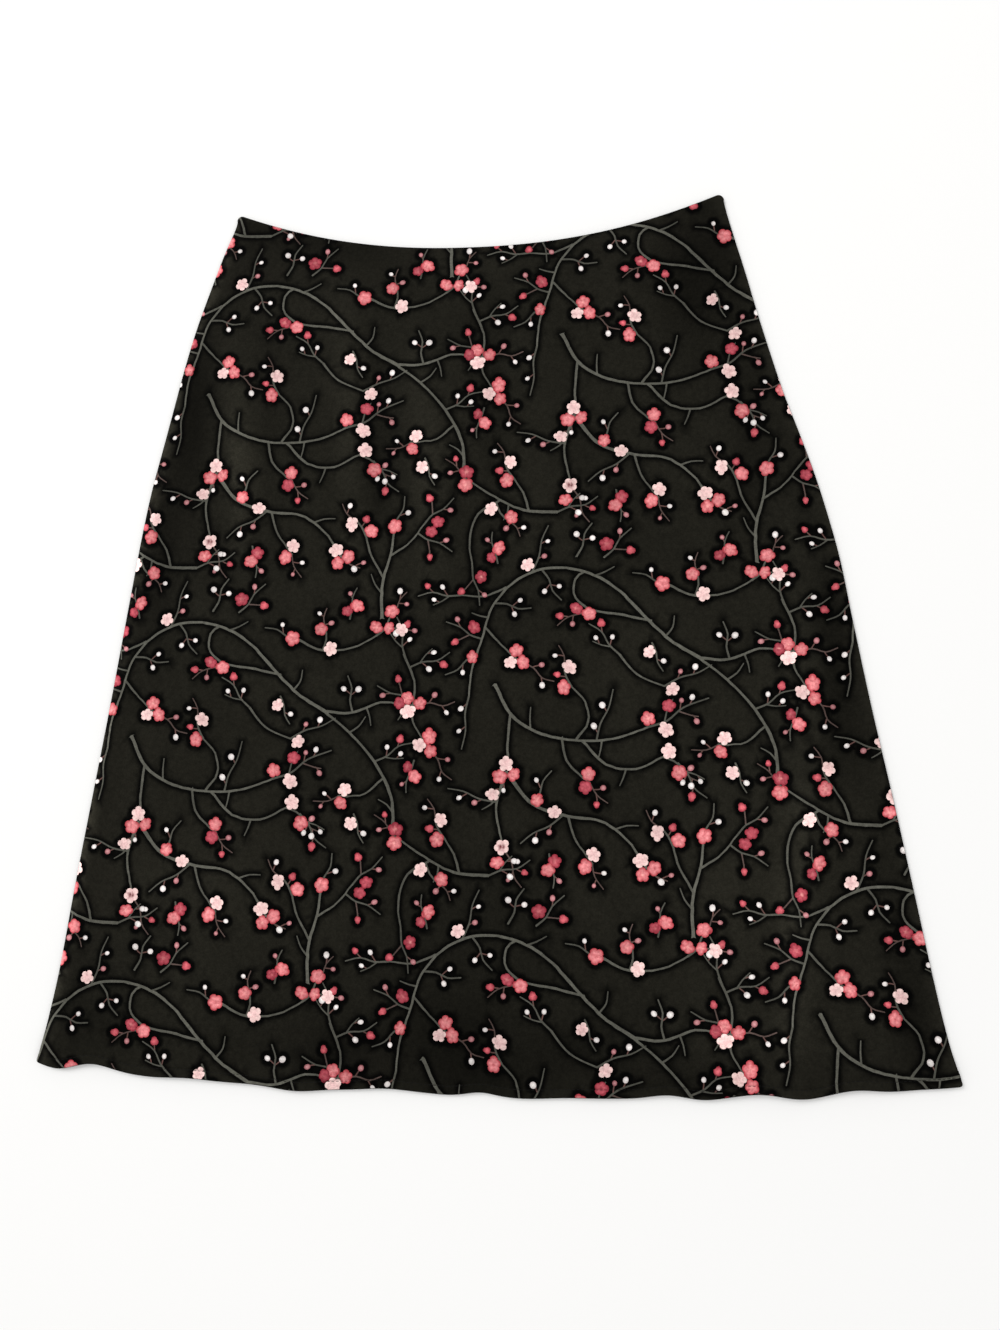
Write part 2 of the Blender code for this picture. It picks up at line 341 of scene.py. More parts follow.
BRANCHES = [
    # thick, thin, points
    (2.6, 1.4, [(122, -66), (100, -52), (82, -34), (62, -14), (40, -3), (16, -1), (-6, -10), (-22, -28), (-29, -50), (-36, -72), (-38, -90)]),
    (2.0, 1.6, [(88, -39), (66, -34), (48, -31), (36, -22), (36, -9), (42, -4)]),
    (1.8, 1.1, [(-12, -14), (-28, -20), (-44, -19)]),
    (1.8, 1.2, [(-27, -42), (-16, -54), (-8, -62)]),
    (2.3, 1.4, [(120, -65), (140, -66), (160, -59), (178, -61)]),
    (2.6, 1.7, [(170, -150), (168, -124), (156, -100), (138, -80), (120, -65)]),
    (1.8, 1.1, [(162, -112), (150, -122), (138, -124)]),
    (2.8, 1.4, [(-20, -82), (-8, -104), (12, -116), (38, -121), (64, -119), (84, -112)]),
    (2.0, 1.3, [(26, -119), (29, -134), (40, -146)]),
    (2.2, 1.3, [(40, -121), (56, -137), (76, -140), (94, -132)]),
    (2.2, 1.6, [(-9, -102), (-11, -120), (-11, -134)]),
    (2.2, 1.4, [(-12, -142), (-19, -166), (-15, -190)]),
    (2.8, 1.5, [(-11, -144), (6, -164), (30, -172), (52, -175), (70, -188), (82, -206)]),
    (1.8, 1.2, [(30, -172), (34, -186), (42, -198)]),
    (2.5, 1.4, [(-24, -212), (-48, -210), (-68, -200), (-86, -188)]),
    (1.9, 1.3, [(-44, -211), (-48, -198), (-54, -188)]),
    (1.9, 1.2, [(-64, -202), (-80, -212), (-86, -230), (-84, -250)]),
    (2.6, 1.6, [(112, -250), (112, -226), (118, -204), (120, -188)]),
    (2.0, 1.3, [(113, -222), (104, -206), (100, -192)]),
    (1.8, 1.1, [(117, -206), (132, -196), (142, -184)]),
    (1.9, 1.2, [(-84, -60), (-76, -82), (-78, -104), (-70, -120)]),
    (2.0, 1.2, [(100, -14), (118, -22), (140, -20), (156, -12)]),
    (1.8, 1.2, [(66, -62), (78, -76), (96, -84)]),
    (1.9, 1.2, [(36, -120), (44, -108), (42, -94), (33, -84)]),
]

SPRAYS = [
    # kind, x, y, heading, side
    ("hang", 12, -2, -62, 1),
    ("duo", 40, -36, 214, 1),
    ("buds", -44, -19, 172, 1),
    ("trio", -4, -66, -36, 1),
    ("tip", -38, -92, -96, -1),
    ("single", -32, -60, 214, -1),
    ("trio", 184, -62, -4, 1),
    ("mixed", 134, -125, 190, 1),
    ("line", 88, -111, 22, 1),
    ("apart", 98, -130, -24, -1),
    ("duo", 44, -151, -46, 1),
    ("knot", -11, -139, -84, 1),
    ("pale", -15, -194, -74, -1),
    ("knot", 84, -210, -60, -1),
    ("mixed", 45, -202, -56, -1),
    ("duo", -90, -184, 140, 1),
    ("pair", -57, -184, 116, 1),
    ("pink", -84, -250, -80, 1),
    ("single", 120, -184, 74, 1),
    ("pair", 99, -187, 118, -1),
    ("pink", 145, -181, 44, -1),
    ("trio", -67, -124, -58, 1),
    ("pink", -77, -92, 160, 1),
    ("buds", -84, -62, 96, 1),
    ("fan", 158, -10, 34, 1),
    ("single", 98, -13, 160, 1),
    ("cap", 96, -84, 24, 1),
    ("buds", 62, -58, 128, 1),
    ("single", 6, -164, 66, -1),
    ("buds", -24, -212, 20, 1),
    ("tip", 48, -119, 76, 1),
    ("apart", 119, -21, 82, 1),
    ("apart", -67, -203, -66, 1),
    ("pink", 56, 6, 44, 1),
    ("hang", 140, -66, 98, 1),
    ("pink", 140, -190, -34, 1),
    ("hang", -20, -26, -14, 1),
    ("cap", 4, 2, 66, -1),
    ("buds", 156, -100, 34, -1),
    ("cap", 27, -173, 212, 1),
    ("pink", -30, -50, 158, -1),
    ("buds", 104, -136, -50, 1),
    ("cap", -18, -164, 168, 1),
    ("pair", 33, -84, 112, 1),
    ("half", 137, 0, 84, 1),
    ("half", 17, -197, -80, 1),
    ("hang", 37, 7, 70, -1),
    ("half", -18, 3, 104, 1),
    ("buds", -72, -68, 20, 1),
    ("lone", 88, -54, -80, 1),
    ("half", -76, -134, -104, -1),
    ("lone", 142, -136, -80, 1),
]

# Bare spurs off the branches.
SPURS = [
    # x, y, heading, length
    (50, -7, 20, 15),
    (-24, -34, 168, 12),
    (136, -80, 34, 16),
    (172, -136, 128, 14),
    (4, -111, 92, 15),
    (52, -120, 262, 12),
    (-17, -160, 226, 14),
    (62, -182, 18, 16),
    (-58, -206, 262, 12),
    (114, -232, 128, 16),
    (150, -62, -70, 13),
    (96, -49, 52, 16),
    (-78, -98, 212, 14),
    (70, -140, -108, 12),
]

# Each kind: strokes (thick, thin, colour, points), blossoms (kind, along, across, size),
# buds (kind, along, across, size, foot along, foot across).
KINDS = {
    "trio": (
        [(1.4, 1.2, "grey", [(0, 0), (9, 0)]), (1.1, 0.8, "brown", [(8, 0), (17, 2), (26, 0), (34, 3)])],
        [("coral", 0.5, 5.0, 10.4), ("coral", 9.2, 0.8, 10.0), ("pale", 1.5, -4.8, 10.2)],
        [("pink", 20, 7.4, 4.1, 16, 1.8), ("white", 29, -4.2, 4.1, 25, 0.2)]),
    "pair": (
        [(1.4, 1.1, "grey", [(0, 0), (8, 1), (15, 0)]), (1.0, 0.7, "brown", [(14, 0), (22, -3), (30, -2)])],
        [("coral", 2, 4.8, 10.4), ("pale", 13.6, -3.8, 10.0)],
        [("open", 11, 6.6, 6.4, 8, 1), ("white", 25, 2.4, 4.1, 22, -2.6)]),
    "apart": (
        [(1.4, 1.0, "grey", [(0, 0), (8, -1), (16, 1)]), (1.0, 0.7, "brown", [(15, 1), (23, 4), (30, 3)])],
        [("pale", 2, -5.0, 10.4), ("coral", 14.5, 4.4, 10.0)],
        [("pink", 20, -2.6, 4.2, 18, 2), ("white", 26, 8.0, 4.0, 24, 4)]),
    "duo": (
        [(1.4, 1.1, "grey", [(0, 0), (6, 1)]), (1.0, 0.7, "brown", [(5, 1), (15, -2), (24, -1)])],
        [("rose", 6.2, -3.8, 10.0), ("coral", 1, 4.4, 10.2)],
        [("pink", 15, 4.0, 4.0, 11, -0.8), ("open", 18.5, -6.4, 5.8, 14, -1.8)]),
    "mixed": (
        [(1.4, 1.1, "grey", [(0, 0), (7, -1)]), (1.0, 0.7, "brown", [(6, -1), (15, 2), (25, 1)])],
        [("coral", 5.8, 4.2, 10.2), ("pale", 1.5, -4.6, 10.4)],
        [("white", 16, -4.0, 4.0, 12, 1.2), ("pink", 20.5, 5.6, 3.9, 17, 1.8)]),
    "buds": (
        [(1.3, 0.8, "grey", [(0, 0), (10, 1), (20, -1), (30, 2)]), (1.0, 0.7, "grey", [(8, 1), (13, 5), (19, 8)])],
        [],
        [("white", 13, -4.6, 4.0, 9, 0.9), ("white", 19, 4.6, 4.2, 15, 5.6), ("open", 24, -5.2, 6.2, 19, -0.8)]),
    "pink": (
        [(1.3, 0.8, "grey", [(0, 0), (9, -1), (17, 1), (28, 0)]), (1.0, 0.7, "brown", [(9, -1), (13, -6), (16, -10)])],
        [("rose", 8.5, 5.0, 9.2)],
        [("open", 16, -10.6, 6.4, 14, -7), ("pink", 21, 4.8, 4.1, 17, 1)]),
    "pale": (
        [(1.4, 1.1, "grey", [(0, 0), (6, 0)]), (1.0, 0.8, "brown", [(5, 0), (14, -3), (24, -2), (32, -5)])],
        [("stamens", 3, 1.0, 10.8), ("coral", 11.8, 7.0, 9.8)],
        [("white", 14, -7.6, 4.1, 12, -2.4), ("pink", 25, 2.5, 3.9, 21, -2)]),
    "tip": (
        [(1.3, 0.8, "grey", [(0, 0), (12, 1), (24, -1), (37, 0)])],
        [],
        [("white", 9, 4.2, 4.2, 5, 0.4), ("white", 25, 3.8, 4.1, 21, -0.6)]),
    "cap": (
        [(1.3, 0.8, "grey", [(0, 0), (12, 1), (24, -1), (35, 0)])],
        [("pale", 4, -4.6, 9.8)],
        [("pink", 14, 4.2, 4.0, 10, 0.8), ("white", 25, 3.8, 4.1, 21, -0.6)]),
    "half": (
        [(1.2, 0.8, "grey", [(0, 0), (8, 0), (16, 1), (23, -1)])],
        [("rose", 5.4, 3.2, 8.0), ("coral", 10.6, -3.0, 9.6)],
        [("pink", 19, 3.4, 3.9, 15, 0.8)]),
    "lone": (
        [(1.2, 0.8, "grey", [(0, 0), (7, 1), (14, 0), (21, 2)])],
        [("pale", 6, -3.4, 9.6)],
        [("white", 15, 4.0, 4.0, 12, 0.4)]),
    "hang": (
        [(1.4, 0.9, "grey", [(0, 0), (9, 1), (17, -1), (26, 1)])],
        [],
        [("white", 15, -5.4, 4.3, 12, 0.4), ("white", 17, 5.0, 4.2, 13, 0.2)]),
    "single": (
        [(1.3, 0.8, "grey", [(0, 0), (8, 1), (17, -1), (26, 1)])],
        [("coral", 4, 1.0, 9.8)],
        [("white", 15, -5.0, 4.1, 12, -0.4)]),
    "knot": (
        [(1.1, 0.8, "brown", [(0, 0), (8, -3), (14, -8)])],
        [("coral", 3.0, 4.8, 10.2), ("coral", 2.2, -5.0, 10.0), ("pale", -5.8, 0.6, 10.4)],
        [("white", 12, -3.6, 4.1, 8, -3), ("pink", 12, -11.5, 3.8, 11, -5.4)]),
    "fan": (
        [(1.5, 1.0, "grey", [(0, 0), (8, 0), (15, 4), (23, 6)]), (1.2, 0.9, "grey", [(8, 0), (15, -5), (20, -11)]), (0.9, 0.7, "brown", [(23, 6), (29, 10), (36, 11)])],
        [("coral", 4, 5.2, 10.2), ("coral", 10.5, -1.4, 9.4), ("pale", 17.0, -7.6, 10.0), ("coral", 19.5, 7.4, 10.2)],
        [("pink", 24.5, -14, 4.0, 19, -9), ("pink", 31, 4.5, 3.8, 27, 8), ("white", 32, 15, 4.0, 29, 10)]),
    "line": (
        [(1.5, 0.9, "grey", [(0, 0), (14, -2), (28, 1), (46, -1)]), (1.1, 0.8, "grey", [(12, -2), (18, 5), (24, 9)]), (1.0, 0.7, "brown", [(24, 0), (30, -6), (34, -9)])],
        [("coral", 3, 4.8, 10.0), ("pale", 11, -7.2, 10.2), ("rose", 20, 6.8, 9.4)],
        [("pink", 29, 6, 3.8, 25, 0.4), ("white", 36, 5, 4.1, 32, 0.6), ("pink", 32, -11, 3.9, 31, -6.5)]),
}


def curve(points, step):
    out = []
    n = len(points)
    for i in range(n - 1):
        p0 = points[i - 1] if i else (2 * points[0][0] - points[1][0], 2 * points[0][1] - points[1][1])
        p1, p2 = points[i], points[i + 1]
        p3 = points[i + 2] if i + 2 < n else (2 * p2[0] - p1[0], 2 * p2[1] - p1[1])
        count = max(2, round(math.dist(p1, p2) / step))
        for k in range(count):
            u = k / count
            out.append(tuple(
                0.5 * (2 * b + (c - a) * u + (2 * a - 5 * b + 4 * c - d) * u * u + (3 * b - a - 3 * c + d) * u ** 3)
                for a, b, c, d in zip(p0, p1, p2, p3)))
    out.append(points[-1])
    return out


def chart_repeat():
    rnd = random.Random(11)
    strokes, blossoms, buds = [], [], []

    def tone():
        return rnd.uniform(0.9, 1.1)

    for thick, thin, points in BRANCHES:
        line = curve(points, 3.6)
        n = len(line) - 1
        line = [line[0]] + [(x + rnd.uniform(-0.22, 0.22), y + rnd.uniform(-0.22, 0.22)) for x, y in line[1:-1]] + [line[-1]]
        widths = [(thick + (thin - thick) * (i / n) ** 0.8) * rnd.uniform(0.76, 0.98) for i in range(n + 1)]
        strokes.append((line, widths, "grey", tone()))
    for x, y, heading, length in SPURS:
        near = min((p for line, _widths, _colour, _tone in strokes for p in line), key=lambda p: math.dist(p, (x, y)))
        a = math.radians(heading)
        bend = a + rnd.uniform(-0.5, 0.5)
        mid = (near[0] + 0.5 * length * math.cos(a), near[1] + 0.5 * length * math.sin(a))
        line = curve([near, mid, (mid[0] + 0.5 * length * math.cos(bend), mid[1] + 0.5 * length * math.sin(bend))], 3.2)
        strokes.append((line, [1.3 - 0.6 * i / (len(line) - 1) for i in range(len(line))], "grey", tone()))
    stems = [p for line, _widths, _colour, _tone in strokes for p in line]
    for kind, x, y, heading, side in SPRAYS:
        a = math.radians(heading + rnd.uniform(-5, 5))
        near = min(stems, key=lambda p: math.dist(p, (x, y)))
        if math.dist(near, (x, y)) < 9:
            x, y = near

        def place(along, across):
            across = side * across
            return (x + along * math.cos(a) - across * math.sin(a), y + along * math.sin(a) + across * math.cos(a))

        for thick, thin, colour, points in KINDS[kind][0]:
            line = curve([place(*p) for p in points], 3.4)
            n = len(line) - 1
            strokes.append((line, [thick + (thin - thick) * i / n for i in range(n + 1)], colour, tone()))
        for what, along, across, size in KINDS[kind][1]:
            p = place(along + rnd.uniform(-0.5, 0.5), across + rnd.uniform(-0.5, 0.5))
            form = (tone(), rnd.uniform(0, 1), rnd.uniform(0.80, 1.0), rnd.uniform(0, math.pi), tuple(rnd.uniform(0.55, 1.25) for _ in range(5)),
                    0.29 if what in ("pale", "stamens") else 0.22)
            blossoms.append((p[0], p[1], size * rnd.uniform(0.98, 1.18), what, rnd.uniform(0, 2 * math.pi), form))
        for what, along, across, size, foot_u, foot_v in KINDS[kind][2]:
            p = place(along + rnd.uniform(-0.8, 0.8), across + rnd.uniform(-0.6, 0.6))
            foot = place(foot_u, foot_v)
            mid = ((foot[0] + p[0]) / 2 + rnd.uniform(-0.5, 0.5), (foot[1] + p[1]) / 2 + rnd.uniform(-0.5, 0.5))
            line = curve([foot, mid, p], 2.6)
            strokes.append((line, [0.8] * len(line), "stalk", tone()))
            form = (tone(), 0.0, rnd.uniform(0.78, 0.98), 0.0, 0.24 if what == "open" else 0.0)
            buds.append((p[0], p[1], size * rnd.uniform(0.78, 1.12), what, math.atan2(p[1] - foot[1], p[0] - foot[0]), form))
    return strokes, blossoms, buds

# Linear colours of the print.
def rgb(r, g, b):
    return np.array([((v / 255 + 0.055) / 1.055) ** 2.4 if v > 10 else v / 255 / 12.92 for v in (r, g, b)])


GROUND = rgb(30, 29, 24)
HALO = rgb(3, 3, 3)
GREY = rgb(88, 88, 81)
BROWN = rgb(86, 72, 68)
STALK = rgb(100, 74, 70)
CORAL = rgb(245, 153, 157)
CORAL_DEEP = rgb(174, 58, 68)
CORAL_LIGHT = rgb(255, 186, 178)
ROSE = rgb(196, 92, 104)
ROSE_DEEP = rgb(136, 40, 54)
ROSE_LIGHT = rgb(222, 108, 118)
PALE = rgb(248, 217, 213)
PALE_DEEP = rgb(232, 176, 180)
WHITE = rgb(252, 248, 246)
WHITE_EDGE = rgb(206, 196, 196)
PINK = rgb(206, 148, 152)
PINK_EDGE = rgb(146, 86, 92)
STAMEN = rgb(110, 36, 44)


def expanded(strokes, blossoms, buds, box):
    """The repeat copied over the whole cloth, as far as it lies in its box."""
    out = ([], [], [])
    x0, y0, x1, y1 = box

    def touches(low_x, low_y, high_x, high_y):
        return high_x > x0 and low_x < x1 and high_y > y0 and low_y < y1

    for i in range(-3, 4):
        for j in range(-3, 4):
            dx = PRINT_START[0] + i * PRINT_ACROSS[0] + j * PRINT_DOWN[0]
            dy = PRINT_START[1] + i * PRINT_ACROSS[1] + j * PRINT_DOWN[1]
            for line, widths, colour, tone in strokes:
                moved = np.array(line) + (dx, dy)
                if touches(*moved.min(0), *moved.max(0)):
                    out[0].append((moved, np.array(widths), colour, tone))
            for group, kept in ((blossoms, out[1]), (buds, out[2])):
                for x, y, size, kind, turn, form in group:
                    if touches(x + dx, y + dy, x + dx, y + dy):
                        kept.append((x + dx, y + dy, size, kind, turn, form))
    return out


def leaned(angle, form):
    """How much nearer a blossom's edge lies at an angle, because it faces aside."""
    narrow, lean = form[2:4]
    return 1 / np.sqrt(np.cos(angle - lean) ** 2 / narrow ** 2 + np.sin(angle - lean) ** 2)


def petal_outline(angle, size, form):
    """Radius of a five-petalled blossom at an angle; its petals are uneven."""
    lobe = np.abs(np.cos(2.5 * angle)) ** 0.6
    length = np.array(form[4])[np.round(angle / (0.4 * math.pi)).astype(int) % 5]
    return size / 2 * (1 - form[5] + form[5] * lobe * length) * leaned(angle, form)


def bud_outline(angle, size, form):
    """Radius of a bud, a little longer than wide; one that opens has three lobes."""
    lobe = 1 - form[4] * (1 - np.abs(np.cos(1.5 * angle)) ** 0.6)
    return size / 2 * lobe / np.sqrt((np.cos(angle) / 1.05) ** 2 + (np.sin(angle) / form[2]) ** 2)


def segment_distance(points, a, b, wa, wb):
    """Distance of points outside a tapered band from a to b."""
    ab = b - a
    k = np.clip(((points - a) @ ab) / max(ab @ ab, 1e-9), 0, 1)
    nearest = a + k[:, None] * ab
    return np.hypot(*(points - nearest).T) - (wa + (wb - wa) * k) / 2


def printed_sheet(outline, split_line, sheet_box, inside):
    """Flat triangles of a cloth face, cut along every edge of the print.

    Gives the points, the triangles, and a linear colour for each corner.
    """
    strokes, blossoms, buds = expanded(*chart_repeat(), sheet_box)
    fixed, edges = [], []         # points joined by edges of the print
    loose = []                    # points that only carry the shading

    def chain(points, closed):
        start = len(fixed)
        fixed.extend(points)
        n = len(points)
        edges.extend((start + k, start + (k + 1) % n) for k in range(n if closed else n - 1))

    chain([tuple(p) for p in outline], True)
    for line in split_line:
        chain([tuple(p) for p in line], False)

    for line, widths, _colour, _tone in strokes:
        d = np.gradient(line, axis=0)
        d /= np.maximum(np.hypot(*d.T), 1e-9)[:, None]
        n = np.stack([-d[:, 1], d[:, 0]], 1)
        half = widths[:, None] / 2
        left, right = line + n * half, line - n * half
        band = np.concatenate([left, [line[-1] + d[-1] * half[-1] * 0.8], right[::-1], [line[0] - d[0] * half[0] * 0.6]])
        chain([tuple(p) for p in band], True)
        for side in (1, -1):
            loose.extend(line + side * n * (half + 1.2))
            loose.extend((line + side * n * (half + 2.6))[::2])
            loose.extend((line + side * n * (half + 4.2))[1::2])
    ring30, ring15, ring12, ring10 = (np.arange(n) / n * 2 * math.pi for n in (30, 15, 12, 10))

    def ring(x, y, angles, radii, turn):
        return np.stack([x + radii * np.cos(angles + turn), y + radii * np.sin(angles + turn)], 1)

    for x, y, size, kind, turn, form in blossoms:
        rim = petal_outline(ring30, size, form)
        chain([tuple(p) for p in ring(x, y, ring30, rim, turn)], True)
        loose.extend(ring(x, y, ring15, rim[::2] * 0.74, turn))
        loose.extend(ring(x, y, ring10, rim[::3] * 0.45, turn))
        loose.extend(ring(x, y, ring10[::2], rim[::6] * 0.2, turn))
        loose.append((x, y))
        for offset in (1.3, 2.8, 4.5):
            loose.extend(ring(x, y, ring15, rim[::2] + offset, turn + offset))
    for x, y, size, kind, turn, form in buds:
        rim = bud_outline(ring12, size, form)
        chain([tuple(p) for p in ring(x, y, ring12, rim, turn)], True)
        loose.append((x, y))
        loose.extend(ring(x, y, ring12[::2], rim[::2] * 0.6, turn))
        for offset in (1.2, 2.6, 4.3):
            loose.extend(ring(x, y, ring12, rim + offset, turn + offset))

    x0, y0, x1, y1 = sheet_box
    step = 6.5
    gx, gy = np.meshgrid(np.arange(x0, x1, step), np.arange(y0, y1, step))
    gx = gx + step / 2 * (np.arange(gx.shape[0]) % 2)[:, None]
    loose.extend(np.stack([gx.ravel(), gy.ravel()], 1))

    # Loose points keep clear of the print's edges and of each other.
    fixed = np.array(fixed)
    loose = np.array(loose)
    loose = loose[inside(loose, 0.8)]
    pitch = 1.3
    taken = set(map(tuple, np.floor(fixed / pitch).astype(int)))
    kept = []
    for p, c in zip(loose, np.floor(loose / pitch).astype(int)):
        c = tuple(c)
        if c not in taken:
            taken.add(c)
            kept.append(p)
    points = np.concatenate([fixed, np.array(kept)])
    result = delaunay_2d_cdt([tuple(p) for p in points], edges, [], 0, 1e-4, False)
    points = np.array([tuple(v) for v in result[0]])
    triangles = np.array([f for f in result[2]], dtype=np.int64)
    centre = points[triangles].mean(1)
    keep = inside(centre)
    a, b, c = (points[triangles[:, k]] for k in range(3))
    area = (b[:, 0] - a[:, 0]) * (c[:, 1] - a[:, 1]) - (b[:, 1] - a[:, 1]) * (c[:, 0] - a[:, 0])
    keep &= np.abs(area) > 1e-7
    triangles, centre = triangles[keep], centre[keep]
    flip = area[keep] < 0
    triangles[flip] = triangles[flip][:, ::-1]
    used, inverse = np.unique(triangles.ravel(), return_inverse=True)
    points, triangles = points[used], inverse.reshape(-1, 3)

    # What each triangle belongs to, and how far each point lies from the print.
    owner = np.full(len(triangles), -1)
    away = np.full(len(points), 99.0)
    away_stroke = np.full(len(points), 99.0)
    reach = 5.0

    order_c = np.argsort(centre[:, 1])
    order_p = np.argsort(points[:, 1])
    sorted_c, sorted_p = centre[order_c], points[order_p]

    def slab(array, order, low, high):
        i, j = np.searchsorted(array[:, 1], (low[1], high[1]))
        part = array[i:j, 0]
        return order[i:j][(part > low[0]) & (part < high[0])]

    shapes = []
    for line, widths, colour, tone in strokes:
        low, high = line.min(0) - widths.max() / 2, line.max(0) + widths.max() / 2
        ci = slab(sorted_c, order_c, low - 0.5, high + 0.5)
        pi = slab(sorted_p, order_p, low - reach, high + reach)
        dc = np.full(len(ci), 99.0)
        dp = np.full(len(pi), 99.0)
        for k in range(len(line) - 1):
            dc = np.minimum(dc, segment_distance(centre[ci], line[k], line[k + 1], widths[k], widths[k + 1]))
            dp = np.minimum(dp, segment_distance(points[pi], line[k], line[k + 1], widths[k], widths[k + 1]))
        rank = {"stalk": 0, "brown": 1, "grey": 2}[colour]
        hit = ci[dc < 0.02]
        better = (owner[hit] < 0) | (np.array([shapes[o][0] if o >= 0 else -1 for o in owner[hit]]) < rank)
        owner[hit[better]] = len(shapes)
        away_stroke[pi] = np.minimum(away_stroke[pi], dp)
        shapes.append((rank, colour, tone, widths, None))
    for kind_rank, group, shape in ((3, buds, bud_outline), (4, blossoms, petal_outline)):
        for x, y, size, kind, turn, form in group:
            low, high = np.array([x, y]) - size * 0.62, np.array([x, y]) + size * 0.62
            ci = slab(sorted_c, order_c, low, high)
            pi = slab(sorted_p, order_p, low - reach, high + reach)
            for index, array, is_triangle in ((ci, centre, True), (pi, points, False)):
                rel = array[index] - (x, y)
                angle = np.arctan2(rel[:, 1], rel[:, 0]) - turn
                d = np.hypot(*rel.T) - shape(angle, size, form)
                if is_triangle:
                    owner[index[d < 0.0]] = len(shapes)
                else:
                    away[index] = np.minimum(away[index], d)
            shapes.append((kind_rank, kind, form[0], (x, y, size, turn), form))

    corners = np.empty((len(triangles), 3, 3))
    fade = np.minimum(smooth(2.2, 4.8, away), 0.06 + 0.94 * smooth(1.1, 4.0, away_stroke))[:, None]
    ground = HALO + (GROUND - HALO) * fade
    corners[:] = ground[triangles]
    order = np.argsort(owner, kind="stable")
    bounds = np.searchsorted(owner[order], np.arange(len(shapes) + 1))
    for k, (rank, kind, tone, spec, form) in enumerate(shapes):
        mine = order[bounds[k]:bounds[k + 1]]
        if not len(mine):
            continue
        position = points[triangles[mine]]
        if rank <= 2:
            colour = {"stalk": STALK, "brown": BROWN, "grey": GREY}[kind]
            corners[mine] = colour * tone
            if kind == "grey":
                corners[mine] = GREY * tone * (0.86 + 0.28 * smooth(1.2, 2.8, spec.max()))
            continue
        x, y, size, turn = spec
        rel = position - (x, y)
        angle = np.arctan2(rel[..., 1], rel[..., 0]) - turn
        radius = np.hypot(rel[..., 0], rel[..., 1]) / (size / 2)
        if rank == 3:
            inner, outer = {"white": (WHITE, WHITE_EDGE), "pink": (PINK, PINK_EDGE), "open": (ROSE_LIGHT, ROSE_DEEP)}[kind]
            mix = smooth(0.3, 1.05, radius)[..., None]
            corners[mine] = (inner + (outer - inner) * mix) * tone
            continue
        # petals darken in the folds between them, at their rims and around some hearts
        radius = radius / leaned(angle, form)
        fold = 1 - np.abs(np.cos(2.5 * angle)) ** 0.7
        dark_heart = form[1] < 0.4
        deep = (0.42 * fold * smooth(0.15, 0.5, radius) + 0.95 * smooth(0.5, 0.98, radius)
                + (0.75 if dark_heart else 0.30) * np.exp(-((radius - (0.0 if dark_heart else 0.3)) / 0.2) ** 2))
        base, dark = {"coral": (CORAL, CORAL_DEEP), "rose": (ROSE, ROSE_DEEP),
                      "pale": (PALE, PALE_DEEP), "stamens": (PALE, PALE_DEEP)}[kind]
        if kind in ("pale", "stamens"):
            deep = 0.5 * np.exp(-(radius / 0.45) ** 2) + 0.5 * fold * smooth(0.15, 0.5, radius)
        colours = base + (dark - base) * np.clip(deep, 0, 1)[..., None]
        if kind in ("coral", "rose") and not dark_heart:
            heart = 0.6 * np.exp(-(radius / 0.17) ** 2)[..., None]
            colours = colours + (CORAL_LIGHT - colours) * heart
        if kind == "stamens":
            star = np.exp(-((radius - 0.2) / 0.16) ** 2) * np.abs(np.cos(5 * angle)) ** 1.5
            colours = colours + (STAMEN - colours) * np.clip(star * 1.2, 0, 1)[..., None]
        corners[mine] = colours * tone
    return points, triangles, corners, owner


# ---------------------------------------------------------------- cloth shells

def loop_of(triangles):
    """The points around a patch of triangles, in order."""
    count = {}
    for tri in triangles:
        for k in range(3):
            edge = (int(tri[k]), int(tri[(k + 1) % 3]))
            count[edge] = 1
    follow = {a: b for a, b in count if (b, a) not in count}
    start = next(iter(follow))
    loop = [start]
    while follow[loop[-1]] != start:
        loop.append(follow[loop[-1]])
    return loop, len(follow)


def coarse_fill(outline, step, inside):
    """A plain triangulation inside a closed outline, whose points come first."""
    x0, y0 = outline.min(0)
    x1, y1 = outline.max(0)
    gx, gy = np.meshgrid(np.arange(x0, x1, step), np.arange(y0, y1, step))
    grid = np.stack([gx.ravel(), gy.ravel()], 1)
    grid = grid[inside(grid, 3.0)]
    n = len(outline)
    points = [tuple(p) for p in outline] + [tuple(p) for p in grid]
    result = delaunay_2d_cdt(points, [(k, (k + 1) % n) for k in range(n)], [], 1, 1e-5, True)
    made = np.array([tuple(v) for v in result[0]])
    place = [-1] * n
    for index, origins in enumerate(result[3]):
        for k in origins:
            if k < n:
                place[k] = index
    triangles = np.array([f for f in result[2]], dtype=np.int64)
    a, b, c = (made[triangles[:, k]] for k in range(3))
    area = (b[:, 0] - a[:, 0]) * (c[:, 1] - a[:, 1]) - (b[:, 1] - a[:, 1]) * (c[:, 0] - a[:, 0])
    triangles[area < 0] = triangles[area < 0][:, ::-1]
    return made, place, triangles[within(triangles, place)]


def within(triangles, place):
    """Which triangles lie inside an outline that has its inside on the left."""
    beside = {}
    for index, tri in enumerate(triangles.tolist()):
        for k in range(3):
            beside[tri[k], tri[(k + 1) % 3]] = index
    walls = set(zip(place, place[1:] + place[:1]))
    beyond = {beside[b, a] for a, b in walls if (b, a) in beside}
    waiting = list(beyond)
    while waiting:
        tri = triangles[waiting.pop()].tolist()
        for k in range(3):
            a, b = tri[k], tri[(k + 1) % 3]
            other = beside.get((b, a))
            if other is not None and other not in beyond and (a, b) not in walls and (b, a) not in walls:
                beyond.add(other)
                waiting.append(other)
    return np.array([index not in beyond for index in range(len(triangles))])


def plan_to_uv(xy, v0, v1):
    """Place in the square that the colours are baked to."""
    u = 0.004 + 0.992 * (xy[..., 0] + 316) / 640
    v = v0 + (v1 - v0) * (xy[..., 1] + 296) / 646
    return np.stack([u, np.clip(v, v0, v1)], -1)


